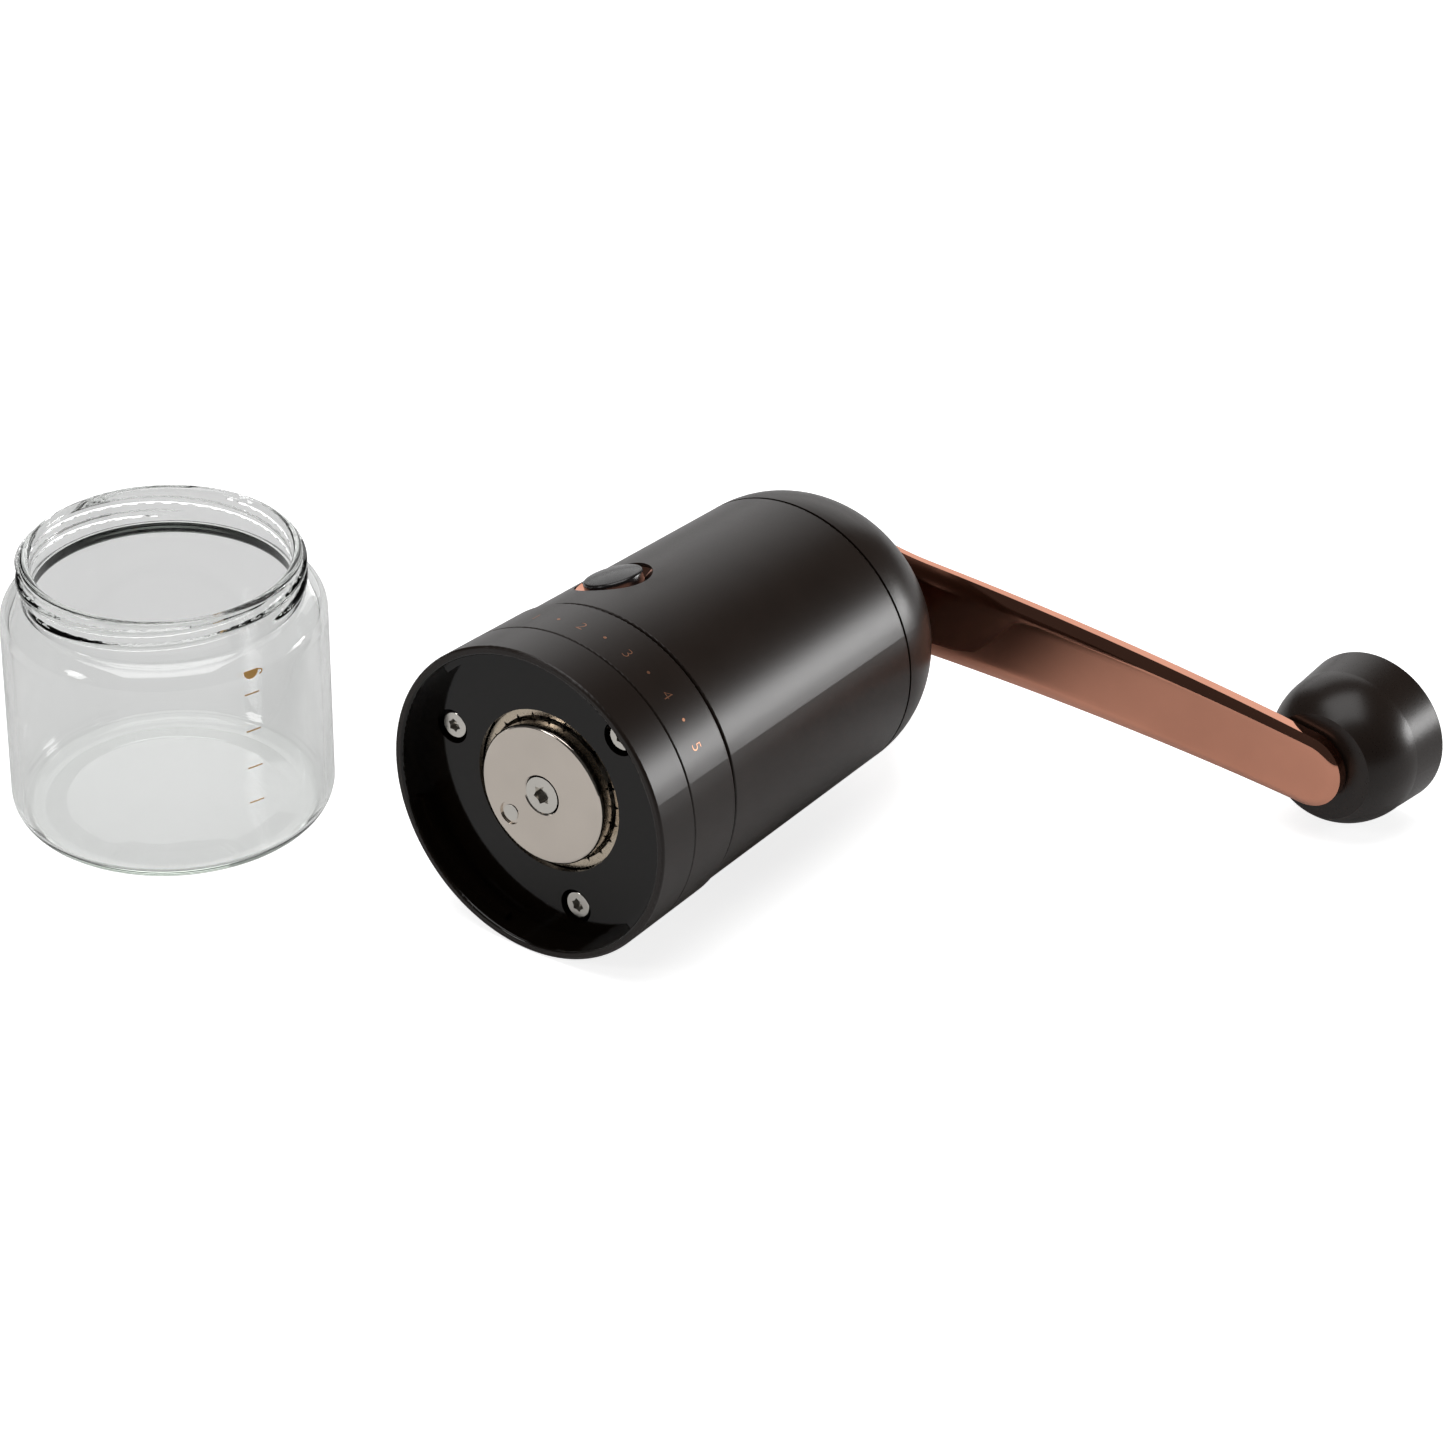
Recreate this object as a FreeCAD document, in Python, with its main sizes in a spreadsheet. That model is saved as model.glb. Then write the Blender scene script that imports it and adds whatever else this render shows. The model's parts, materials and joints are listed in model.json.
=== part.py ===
import FreeCAD, Part
import math
import os
import re

from FreeCAD import Placement, Rotation, Vector
import Sketcher

# Hand crank coffee grinder: the mill lies on its side beside its glass jar.
# The mill is modelled upright about its own axis, Z = 0 at the open rim and the
# front (lock button) towards -Y, and is then laid on the table as one rigid group.

DIMENSIONS = [
    # layout on the table
    ("mill_x", 3.35), ("rim_y", -67.1), ("jar_x", -105.4), ("jar_y", -67.9), ("roll", 19.5),
    # outer skin of the mill: one slim cone from the rim to the lid seam
    ("rim_radius", 39.2), ("side_slope", 0.03526),
    ("collar_top", 12.3), ("dial_base", 12.6), ("dial_top", 28.6),
    ("shell_base", 29.6), ("shell_top", 101.9), ("shell_radius", 37.7), ("seam_radius", 35.58),
    ("edge_round", 0.4), ("rim_round", 0.7),
    # jar collar
    ("collar_bore", 37.0), ("collar_floor", 8.0), ("burr_hole", 20.4),
    ("lug_radius", 35.35), ("lug_base", 3.0), ("lug_top", 4.8), ("lug_span", 57.0), ("lug_turn", 31.5),
    ("screw_circle", 29.2), ("screw_turn", 93.1), ("well_radius", 4.3), ("well_floor", 10.6),
    ("screw_head", 3.4), ("screw_head_tall", 1.9), ("screw_shank", 1.5), ("screw_reach", 8.0),
    ("collar_star", 1.8), ("collar_star_deep", 1.2),
    # core frame and hopper
    ("core_radius", 32.6), ("core_step", 29.7), ("core_flange", 34.9), ("core_top", 36.0),
    ("web_base", 28.4), ("web_top", 30.2), ("throat_radius", 19.0), ("burr_seat", 24.15),
    ("hopper_radius", 31.6), ("hopper_wall", 1.4), ("funnel_top", 66.0), ("hopper_top", 101.5),
    ("funnel_radius", 20.0),
    # drive
    ("shaft_radius", 4.0), ("running_gap", 0.06), ("shaft_base", 9.5), ("shaft_top", 97.0),
    ("hex_top", 112.0), ("hex_gap", 0.12),
    ("burr_face", 5.3), ("burr_radius", 17.5), ("burr_tip", 9.0), ("burr_top", 28.0), ("burr_edge", 0.8),
    ("burr_ring_face", 9.75), ("outer_groove_half", 0.8), ("outer_groove_deep", 1.6),
    ("inner_groove_half", 1.2),
    ("burr_screw_radius", 4.55), ("burr_screw_shank", 1.98), ("burr_screw_long", 12.0),
    ("burr_screw_groove", 0.55), ("countersink_deep", 2.75), ("burr_star", 2.5), ("burr_star_deep", 1.6),
    ("pin_circle", 12.2), ("pin_turn", 158.0), ("pin_radius", 2.0), ("pin_sunk", 0.3), ("pin_long", 3.1),
    ("pin_groove_wide", 0.9), ("pin_groove_deep", 0.5),
    # lock button
    ("button_height", 47.5), ("button_radius", 7.2), ("bezel_radius", 9.4), ("bezel_bore", 7.6),
    ("bezel_edge", 1.25), ("bezel_dish", 2.5), ("bezel_back", 3.4), ("cup_floor", 4.1), ("cup_back", 5.0),
    ("well_bore", 3.4), ("well_wide", 4.8), ("well_end", 6.9), ("well_back", 7.6),
    ("button_crown", 1.3), ("button_side", 0.35), ("button_skirt", 2.6), ("crown_arc", 27.8),
    ("stem_radius", 2.9), ("stem_end", 4.6), ("coil_inside", 2.3), ("coil_outside", 3.1),
    # lid
    ("lid_base", 102.3), ("lid_tall", 30.3), ("lid_flat", 130.5), ("lid_hollow", 20.2),
    ("plug_radius", 31.3), ("plug_bore", 29.5), ("plug_base", 96.0), ("lid_bore", 8.0),
    # bridges that hold the drive shaft
    ("bridge_base", 86.0), ("bridge_top", 92.0), ("bridge_hub", 8.5), ("bridge_bore", 6.5),
    ("bridge_ring", 29.6), ("bridge_arm", 6.0),
    ("carrier_base", 31.0), ("carrier_top", 36.0), ("carrier_hub", 7.6), ("carrier_bore", 5.5),
    ("carrier_ring", 16.4), ("carrier_arm", 5.0), ("carrier_foot", 28.9), ("carrier_head", 37.0),
    ("lid_bushing_base", 119.5),
    # crank
    ("spindle_radius", 5.5), ("barrel_radius", 7.0), ("barrel_base", 99.5), ("barrel_top", 119.2),
    ("boss_radius", 9.5), ("arm_base", 133.2), ("arm_thick", 4.4), ("arm_root", 12.8), ("arm_end", 9.3),
    ("crank_reach", 122.25), ("arm_far_base", 144.6), ("arm_tip", 120.75),
    ("bend_start", 5.0), ("bend_end", 15.0), ("bend_rise", 0.9), ("bend_arc", 56.0), ("sweep_arc", 654.0),
    ("arm_screw_radius", 2.45), ("arm_screw_head", 7.0), ("arm_screw_edge", 0.8),
    ("arm_screw_flat", 2.5), ("arm_screw_tall", 2.28), ("arm_screw_arc", 15.4), ("arm_screw_long", 10.0),
    # knob
    ("knob_base", 149.45), ("knob_top", 173.8), ("knob_radius", 19.5), ("knob_waist", 18.8),
    ("knob_foot", 13.6), ("knob_shoulder", 163.0), ("knob_pin_radius", 3.0),
    # glass jar
    ("jar_radius", 38.9), ("jar_wall", 2.5), ("jar_tall", 68.6), ("neck_radius", 33.5),
    ("neck_base", 60.6), ("mouth_radius", 31.0), ("thread_radius", 34.8), ("jar_floor", 3.3),
    ("foot_hollow", 1.0), ("foot_inside", 33.0), ("foot_round", 4.5), ("lip_round", 0.9),
    ("shoulder_base", 53.5), ("shoulder_arc", 9.5), ("throat_base", 52.0), ("throat_arc", 6.5),
    ("floor_round", 3.5), ("thread_foot", 63.0), ("thread_low", 64.0), ("thread_high", 64.6),
    ("thread_head", 66.0),
]

doc = FreeCAD.newDocument("Grinder")
sheet = doc.addObject("Spreadsheet::Sheet", "Dims")
for row, (alias, size) in enumerate(DIMENSIONS, start=1):
    sheet.set("A%d" % row, alias)
    sheet.set("B%d" % row, str(size))
    sheet.setAlias("B%d" % row, alias)
doc.recompute()

OUTER_GROOVES, INNER_GROOVES = 24, 12
ARM_RISE, ARM_LEVEL = 0.18, 0.016  # slope of the arm after its bend and at the knob
FUNCTIONS = ("sqrt", "sin", "cos", "tan", "asin", "atan")


def bound(expression):
    """The expression with each alias pointed at the sheet."""
    def point(match):
        word = match.group(0)
        return word if word in FUNCTIONS else "Dims." + word
    return re.sub(r"[a-z][a-z_]+", point, str(expression))


def number(expression):
    return float(sheet.evalExpression(bound(expression)))


# ---------------------------------------------------------------- sketch helpers
ORIGIN = -1
V_AXIS = "V_Axis"


def origin_plane(body, role):
    for feature in body.Origin.OriginFeatures:
        if feature.Role == role:
            return feature
    raise ValueError(role)


def new_sketch(body, name, role, offset="0", turn=0.0):
    """A sketch on one of the body's origin planes, moved along its normal or turned about its Y."""
    sketch = body.newObject("Sketcher::SketchObject", name)
    sketch.AttachmentSupport = [(origin_plane(body, role), "")]
    sketch.MapMode = "FlatFace"
    sketch.AttachmentOffset = Placement(Vector(0, 0, number(offset)), Rotation(Vector(0, 1, 0), turn))
    sketch.setExpression("AttachmentOffset.Base.z", bound(offset))
    sketch.Visibility = False
    return sketch


def fix_point(sketch, geometry, end, across, up):
    """Dimension one point of the sketch from the sketch's origin."""
    for kind, expression in (("DistanceX", across), ("DistanceY", up)):
        index = sketch.addConstraint(
            Sketcher.Constraint(kind, ORIGIN, 1, geometry, end, number(expression)))
        sketch.setExpression("Constraints[%d]" % index, bound(expression))


def arc_between(start, end, radius):
    """The short arc from start to end: it turns left for a positive radius, right for a negative."""
    chord = end - start
    side = 1.0 if radius > 0 else -1.0
    rise = math.sqrt(radius ** 2 - (chord.Length / 2) ** 2)
    across = Vector(-chord.y, chord.x, 0).normalize()
    centre = (start + end) * 0.5 + across * (rise * side)
    first, last = (start, end) if radius > 0 else (end, start)
    angles = [math.atan2(point.y - centre.y, point.x - centre.x) for point in (first, last)]
    circle = Part.Circle(centre, Vector(0, 0, 1), abs(radius))
    if angles[1] <= angles[0]:
        angles[1] += 2 * math.pi
    return Part.ArcOfCircle(circle, angles[0], angles[1])


def draw_outline(sketch, corners):
    """A closed outline. A corner is (across, up) or (across, up, radius of the arc to the next)."""
    points = [Vector(number(corner[0]), number(corner[1]), 0) for corner in corners]
    ends = []
    for index, corner in enumerate(corners):
        start, end = points[index], points[(index + 1) % len(points)]
        if len(corner) == 2:
            geometry = sketch.addGeometry(Part.LineSegment(start, end), False)
            ends.append((geometry, 1, 2))
            continue
        radius = number(corner[2])
        geometry = sketch.addGeometry(arc_between(start, end, radius), False)
        ends.append((geometry, 1, 2) if radius > 0 else (geometry, 2, 1))
        size = "abs(%s)" % bound(corner[2])
        index_of = sketch.addConstraint(Sketcher.Constraint("Radius", geometry, abs(radius)))
        sketch.setExpression("Constraints[%d]" % index_of, size)
    for index, (geometry, first, last) in enumerate(ends):
        following, begin, _ = ends[(index + 1) % len(ends)]
        sketch.addConstraint(Sketcher.Constraint("Coincident", geometry, last, following, begin))
        fix_point(sketch, geometry, first, corners[index][0], corners[index][1])


def draw_circle(sketch, across, up, radius):
    circle = Part.Circle(Vector(number(across), number(up), 0), Vector(0, 0, 1), number(radius))
    geometry = sketch.addGeometry(circle, False)
    fix_point(sketch, geometry, 3, across, up)
    index = sketch.addConstraint(Sketcher.Constraint("Radius", geometry, number(radius)))
    sketch.setExpression("Constraints[%d]" % index, bound(radius))


def ring_of_points(radius, count, start):
    """Expressions for points spaced evenly on a circle about the sketch's origin."""
    turns = [start + 360.0 * step / count for step in range(count)]
    return [("%s * %.6f" % (radius, math.cos(math.radians(turn))),
             "%s * %.6f" % (radius, math.sin(math.radians(turn)))) for turn in turns]


# --------------------------------------------------------------- feature helpers
NODES = []


def new_body(label, placement):
    body = doc.addObject("PartDesign::Body", label)
    body.Placement = placement
    NODES.append(body)
    return body


def turn_profile(body, name, corners):
    """Revolve an outline of (radius, height) corners about the body's Z axis."""
    sketch = new_sketch(body, name + "_sketch", "XZ_Plane")
    draw_outline(sketch, corners)
    feature = body.newObject("PartDesign::Revolution", name)
    feature.Profile = sketch
    feature.ReferenceAxis = (sketch, [V_AXIS])
    feature.Angle = 360
    doc.recompute()
    return feature


def turned(label, placement, corners):
    body = new_body(label, placement)
    turn_profile(body, label + "_turn", corners)
    return body


def pad(body, name, sketch, length, symmetric=False):
    feature = body.newObject("PartDesign::Pad", name)
    feature.Profile = sketch
    feature.Length = number(length)
    feature.setExpression("Length", bound(length))
    if symmetric:
        feature.SideType = "Symmetric"
    doc.recompute()
    return feature


def pocket(body, name, sketch, length=None, upward=False):
    """Cut below the sketch, or above it, to a depth or right through."""
    before = body.Shape.Volume
    feature = body.newObject("PartDesign::Pocket", name)
    feature.Profile = sketch
    feature.Reversed = upward
    if length is None:
        feature.Type = "ThroughAll"
    else:
        feature.Length = number(length)
        feature.setExpression("Length", bound(length))
    doc.recompute()
    if not body.Shape.Volume < before - 0.01:
        raise ValueError(name + " cuts nothing")
    return feature


def drill(body, name, points, radius, start, length=None, upward=False):
    """Round holes along Z at the given points, from the start height."""
    sketch = new_sketch(body, name + "_sketch", "XY_Plane", start)
    for across, up in points:
        draw_circle(sketch, across, up, radius)
    return pocket(body, name, sketch, length, upward)


def polar(body, name, feature, count):
    pattern = body.newObject("PartDesign::PolarPattern", name)
    pattern.Originals = [feature]
    axis = next(item for item in body.Origin.OriginFeatures if item.Role == "Z_Axis")
    pattern.Axis = (axis, [""])
    pattern.Angle = 360
    pattern.Occurrences = count
    body.Tip = pattern
    doc.recompute()
    return pattern


def round_circles(body, name, size, wanted):
    """Round the full circular edges whose (radius, height) is in the wanted list."""
    base = body.Tip
    names = []
    for index, edge in enumerate(base.Shape.Edges, start=1):
        if edge.Degenerated or not isinstance(edge.Curve, Part.Circle):
            continue
        for radius, height in wanted:
            near = abs(edge.Curve.Radius - number(radius)) < 0.02
            if near and abs(edge.Curve.Center.z - number(height)) < 0.02:
                names.append("Edge%d" % index)
    feature = body.newObject("PartDesign::Fillet", name)
    feature.Base = (base, names)
    feature.Radius = number(size)
    feature.setExpression("Radius", bound(size))
    doc.recompute()


# ------------------------------------------------------------------- placements
side_slope = number("side_slope")
tilt = math.degrees(math.atan(side_slope))
laid_down = Rotation(Vector(1, 0, 0), -(90 + tilt))
rolled = Rotation(Vector(0, 0, 1), -number("roll"))
rim_height = number("rim_radius") * math.cos(math.radians(tilt))
MILL = Placement(Vector(number("mill_x"), number("rim_y"), rim_height), laid_down * rolled)
JAR = Placement(Vector(number("jar_x"), number("jar_y"), 0), Rotation())


def on_mill(angle=0.0, reach=0.0, height=0.0):
    """A frame on the mill, turned about its axis, moved out and along it."""
    turned_frame = Placement(Vector(0, 0, 0), Rotation(Vector(0, 0, 1), angle))
    return MILL * turned_frame * Placement(Vector(reach, 0, height), Rotation())


# The crank hangs to the side until its knob touches the table.
knob_drop = number("rim_radius - knob_radius - knob_top * side_slope")
CRANK_ANGLE = number("roll") + math.degrees(math.asin(knob_drop / number("crank_reach")))
CRANK = on_mill(CRANK_ANGLE)
KNOB = on_mill(CRANK_ANGLE, number("crank_reach"))

BUTTON_DEPTH = ("shell_radius - (button_height - shell_base)"
                " * (shell_radius - seam_radius) / (shell_top - shell_base)")
BUTTON = MILL * Placement(Vector(0, -number(BUTTON_DEPTH), number("button_height")),
                          Rotation(Vector(1, 0, 0), 90))


# ----------------------------------------------------------------------- housing
def skin(height):
    """Radius of the mill's outer cone at a height."""
    return "rim_radius - side_slope * (%s)" % height


def make_jar_collar():
    """Cup with three bayonet lugs that the jar's neck turns under, and its floor."""
    body = turned("jar_collar", MILL, [
        ("burr_hole", "collar_floor"), ("collar_bore", "collar_floor"), ("collar_bore", "0"),
        ("rim_radius", "0"), (skin("collar_top"), "collar_top"), ("burr_hole", "collar_top")])
    for index in range(3):
        name = "lug_%d" % (index + 1)
        sketch = new_sketch(body, name + "_sketch", "XZ_Plane", "0", number("lug_turn") + 120 * index)
        draw_outline(sketch, [
            ("lug_radius", "lug_base"), ("collar_bore + 0.3", "lug_base"),
            ("collar_bore + 0.3", "lug_top + 1"), ("lug_radius", "lug_top")])
        lug = body.newObject("PartDesign::Revolution", name)
        lug.Profile = sketch
        lug.ReferenceAxis = (sketch, [V_AXIS])
        lug.Angle = number("lug_span")
        lug.Midplane = True
        lug.setExpression("Angle", bound("lug_span"))
    doc.recompute()
    places = ring_of_points("screw_circle", 3, number("screw_turn"))
    drill(body, "screw_wells", places, "well_radius", "well_floor")
    drill(body, "screw_holes", places, "screw_shank + 0.2", "collar_top")
    round_circles(body, "rim_edges", "rim_round", [("rim_radius", "0"), ("collar_bore", "0")])


def star_screw(label, placement, corners, recess_depth, recess_size):
    """A screw with its drive face at Z = 0, pointing up, and a six-pointed recess."""
    body = turned(label, placement, corners)
    sketch = new_sketch(body, label + "_star_sketch", "XY_Plane", recess_depth)
    tips = ring_of_points(recess_size, 6, 0)
    valleys = ring_of_points("%s * 0.72" % recess_size, 6, 30)
    draw_outline(sketch, [point for pair in zip(tips, valleys) for point in pair])
    pocket(body, label + "_star", sketch)
    return body


def make_collar_screws():
    """Pan head screws that hold the collar to the core frame."""
    for index in range(3):
        angle = number("screw_turn") + 120 * index
        place = on_mill(angle, number("screw_circle"), number("well_floor - screw_head_tall"))
        body = star_screw("collar_screw_%d" % (index + 1), place, [
            ("0", "0"), ("screw_head", "0"), ("screw_head", "screw_head_tall"),
            ("screw_shank", "screw_head_tall"), ("screw_shank", "screw_reach"), ("0", "screw_reach")],
            "collar_star_deep", "collar_star")
        round_circles(body, "head_edge_%d" % (index + 1), "edge_round", [("screw_head", "0")])


def make_core_frame():
    """Tube that carries the setting ring outside and the outer burr inside."""
    body = turned("core_frame", MILL, [
        ("burr_seat", "collar_top"), ("core_radius", "collar_top"), ("core_radius", "core_step"),
        ("core_flange", "core_step"), ("core_flange", "core_top"), ("core_flange - 4.9", "core_top"),
        ("core_flange - 4.9", "web_top"), ("throat_radius", "web_top"),
        ("throat_radius", "web_base"), ("burr_seat", "web_base")])
    places = ring_of_points("screw_circle", 3, number("screw_turn"))
    drill(body, "pilot_holes", places, "screw_shank + 0.05", "well_floor + screw_reach")


def make_outer_burr():
    """Fixed burr: a ring whose bore closes towards the outlet, cut with grooves."""
    body = turned("outer_burr", MILL, [
        ("burr_radius + 0.7", "burr_ring_face"), ("burr_hole - 0.3", "burr_ring_face"),
        ("burr_hole - 0.3", "collar_top + 0.05"), ("burr_seat - 0.05", "collar_top + 0.05"),
        ("burr_seat - 0.05", "web_base - 0.1"), ("throat_radius + 0.2", "web_base - 0.1")])
    sketch = new_sketch(body, "outer_groove_sketch", "XY_Plane", "web_base")
    draw_outline(sketch, [
        ("burr_radius", "-outer_groove_half"), ("burr_radius + outer_groove_deep", "0"),
        ("burr_radius", "outer_groove_half")])
    groove = pocket(body, "outer_groove", sketch)
    polar(body, "outer_grooves", groove, OUTER_GROOVES)


def make_spider(label, base, top, hub, bore, ring_in, ring_out, ring_base, ring_top, arm_wide):
    """A hub held in a ring by three arms, which the beans fall past."""
    body = turned(label, MILL, [("0", base), (hub, base), (hub, top), ("0", top)])
    sketch = new_sketch(body, label + "_arm_sketch", "XY_Plane", base)
    half = "%s / 2" % arm_wide
    far = "(%s + %s) / 2" % (ring_in, ring_out)
    draw_outline(sketch, [("0", "-(%s)" % half), (far, "-(%s)" % half), (far, half), ("0", half)])
    arm = pad(body, label + "_arm", sketch, "(%s) - (%s)" % (top, base))
    polar(body, label + "_arms", arm, 3)
    turn_profile(body, label + "_ring", [
        (ring_in, ring_base), (ring_out, ring_base), (ring_out, ring_top), (ring_in, ring_top)])
    drill(body, label + "_bore", [("0", "0")], bore, "(%s) + 5" % top)


def make_hopper():
    """Liner that holds the beans: a straight wall above a funnel."""
    turned("hopper_liner", MILL, [
        ("funnel_radius", "web_top"), ("funnel_radius + hopper_wall + 0.2", "web_top"),
        ("hopper_radius + hopper_wall", "funnel_top + 0.6"), ("hopper_radius + hopper_wall", "hopper_top"),
        ("hopper_radius", "hopper_top"), ("hopper_radius", "funnel_top")])


def make_body_shell():
    """Outer sleeve, with the round opening for the lock button in its front."""
    body = turned("body_shell", MILL, [
        ("core_flange + 0.05", "shell_base"), ("shell_radius", "shell_base"),
        ("seam_radius", "shell_top"), ("hopper_radius + hopper_wall + 0.05", "shell_top"),
        ("core_flange + 0.05", "core_top + 0.1")])
    round_circles(body, "sleeve_edges", "edge_round",
                  [("shell_radius", "shell_base"), ("seam_radius", "shell_top")])
    sketch = new_sketch(body, "button_opening_sketch", "XZ_Plane")
    draw_circle(sketch, "0", "button_height", "bezel_radius + 0.05")
    pocket(body, "button_opening", sketch, upward=True)


def make_button_parts():
    """Dished bezel, the cup behind it, the button that slides in it and its spring."""
    turned("button_bezel", BUTTON, [
        ("bezel_bore", "-bezel_dish"), ("bezel_bore", "-bezel_back"),
        ("bezel_radius", "-bezel_back"), ("bezel_radius", "-bezel_edge")])
    turned("button_cup", BUTTON, [
        ("bezel_bore + 0.1", "-bezel_back"), ("bezel_bore + 0.1", "-cup_floor"),
        ("well_bore", "-cup_floor"), ("well_bore", "-well_end"), ("0", "-well_end"),
        ("0", "-well_back"), ("well_wide", "-well_back"), ("well_wide", "-cup_back"),
        ("bezel_radius", "-cup_back"), ("bezel_radius", "-bezel_back")])
    body = turned("lock_button", BUTTON, [
        ("0", "-stem_end"), ("stem_radius", "-stem_end"), ("stem_radius", "-button_skirt"),
        ("button_radius", "-button_skirt"), ("button_radius", "button_side", "crown_arc"),
        ("0", "button_crown")])
    round_circles(body, "button_edge", "rim_round", [("button_radius", "button_side")])
    turned("button_spring", BUTTON, [
        ("coil_inside", "-well_end"), ("coil_outside", "-well_end"),
        ("coil_outside", "-stem_end"), ("coil_inside", "-stem_end")])


def make_adjust_ring():
    """Setting ring that turns on the core frame."""
    body = turned("adjust_ring", MILL, [
        ("core_radius + running_gap", "dial_base"), (skin("dial_base"), "dial_base"),
        (skin("dial_top"), "dial_top"), ("core_radius + running_gap", "dial_top")])
    round_circles(body, "dial_edges", "edge_round",
                  [(skin("dial_base"), "dial_base"), (skin("dial_top"), "dial_top")])


# ------------------------------------------------------------------------- drive
def make_bushing(label, outer, inner, base, top):
    turned(label, MILL, [(inner, base), (outer, base), (outer, top), (inner, top)])


def make_drive_shaft():
    """Round shaft with a hexagonal top end that the crank drives."""
    body = turned("drive_shaft", CRANK, [
        ("0", "shaft_base"), ("shaft_radius", "shaft_base"),
        ("shaft_radius", "shaft_top"), ("0", "shaft_top")])
    sketch = new_sketch(body, "hex_sketch", "XY_Plane", "shaft_top")
    draw_outline(sketch, ring_of_points("shaft_radius", 6, 0))
    pad(body, "hex_end", sketch, "hex_top - shaft_top")
    drill(body, "tapped_hole", [("0", "0")], "burr_screw_shank + 0.02", "shaft_base + 9")


def make_inner_burr():
    """Turning burr: a cone with a flat bottom disc, grooves and a countersink."""
    body = turned("inner_burr", MILL, [
        ("burr_screw_radius + burr_screw_groove", "burr_face"), ("burr_radius", "burr_face"),
        ("burr_radius", "shaft_base - 0.5"), ("burr_tip", "burr_top"), ("shaft_radius", "burr_top"),
        ("shaft_radius", "shaft_base"), ("burr_screw_shank + 0.1", "shaft_base"),
        ("burr_screw_shank + 0.1", "burr_face + countersink_deep")])
    sketch = new_sketch(body, "inner_groove_sketch", "XY_Plane", "shaft_base + 0.3")
    draw_outline(sketch, [
        ("burr_tip + 1", "0"), ("burr_radius + 1", "-inner_groove_half"),
        ("burr_radius + 1", "inner_groove_half")])
    groove = pocket(body, "inner_groove", sketch, upward=True)
    polar(body, "inner_grooves", groove, INNER_GROOVES)
    places = ring_of_points("pin_circle", 1, number("pin_turn"))
    drill(body, "pin_hole", places, "pin_radius", "burr_face + pin_sunk + pin_long")
    drill(body, "pin_groove", places, "pin_radius + pin_groove_wide", "burr_face + pin_groove_deep")
    round_circles(body, "burr_rounding", "burr_edge", [("burr_radius", "burr_face")])


def make_burr_fixings():
    """Countersunk screw and locating pin in the bottom of the inner burr."""
    star_screw("burr_screw", on_mill(0, 0, number("burr_face + 0.1")), [
        ("0", "0"), ("burr_screw_radius", "0"), ("burr_screw_shank", "burr_screw_radius - burr_screw_shank"),
        ("burr_screw_shank", "burr_screw_long"), ("0", "burr_screw_long")],
        "burr_star_deep", "burr_star")
    place = on_mill(number("pin_turn"), number("pin_circle"))
    turned("burr_pin", place, [
        ("0", "burr_face + pin_sunk"), ("pin_radius", "burr_face + pin_sunk"),
        ("pin_radius", "burr_face + pin_sunk + pin_long"), ("0", "burr_face + pin_sunk + pin_long")])


# --------------------------------------------------------------------------- lid
def primitive(kind, name, sizes, height):
    """A Part primitive bound to the sheet, standing on the mill's axis at a height."""
    item = doc.addObject(kind, name)
    for key, expression in sizes.items():
        item.setExpression(key, bound(expression))
    item.setExpression("Placement.Base.z", bound(height))
    return item


def cylinder(name, radius, base, top):
    return primitive("Part::Cylinder", name, {"Radius": radius, "Height": "(%s) - (%s)" % (top, base)}, base)


def half_ellipsoid(name, radius, tall, base):
    item = primitive("Part::Ellipsoid", name, {"Radius1": tall, "Radius2": radius, "Radius3": radius}, base)
    item.Angle1 = 0
    return item


def make_dome_cap():
    """Domed lid with a plug that sits in the hopper's mouth and a flat for the crank."""
    dome = half_ellipsoid("dome_outside", "seam_radius", "lid_tall", "lid_base")
    block = cylinder("dome_block", "seam_radius + 1", "lid_base", "lid_flat")
    flat_dome = doc.addObject("Part::Common", "flat_dome")
    flat_dome.Base, flat_dome.Tool = dome, block
    plug = cylinder("dome_plug", "plug_radius", "plug_base", "lid_base + 1")
    solid = doc.addObject("Part::Fuse", "dome_solid")
    solid.Base, solid.Tool = flat_dome, plug
    hollow = half_ellipsoid("dome_hollow", "seam_radius - 3", "lid_hollow", "lid_base + 2")
    bore = cylinder("plug_hollow", "plug_bore", "plug_base - 1", "lid_base + 2.01")
    middle = cylinder("dome_bore", "lid_bore", "lid_base + 1", "lid_flat + 1")
    void = doc.addObject("Part::MultiFuse", "dome_void")
    void.Shapes = [hollow, bore, middle]
    lid = doc.addObject("Part::Cut", "dome_cap")
    lid.Base, lid.Tool = solid, void
    lid.Placement = MILL
    NODES.append(lid)
    doc.recompute()


# ------------------------------------------------------------------------- crank
def make_crank_spindle():
    """Spindle through the lid: hexagonal socket below, boss for the arm above."""
    body = turned("crank_spindle", CRANK, [
        ("0", "barrel_base"), ("barrel_radius", "barrel_base"), ("barrel_radius", "barrel_top"),
        ("spindle_radius", "barrel_top"), ("spindle_radius", "lid_flat + 0.3"),
        ("boss_radius", "lid_flat + 0.3"), ("boss_radius", "arm_base"), ("0", "arm_base")])
    sketch = new_sketch(body, "socket_sketch", "XY_Plane", "hex_top + 1")
    draw_outline(sketch, ring_of_points("(shaft_radius + hex_gap)", 6, 0))
    pocket(body, "socket", sketch)
    drill(body, "arm_screw_hole", [("0", "0")], "2.5", "arm_base", "11")


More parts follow.
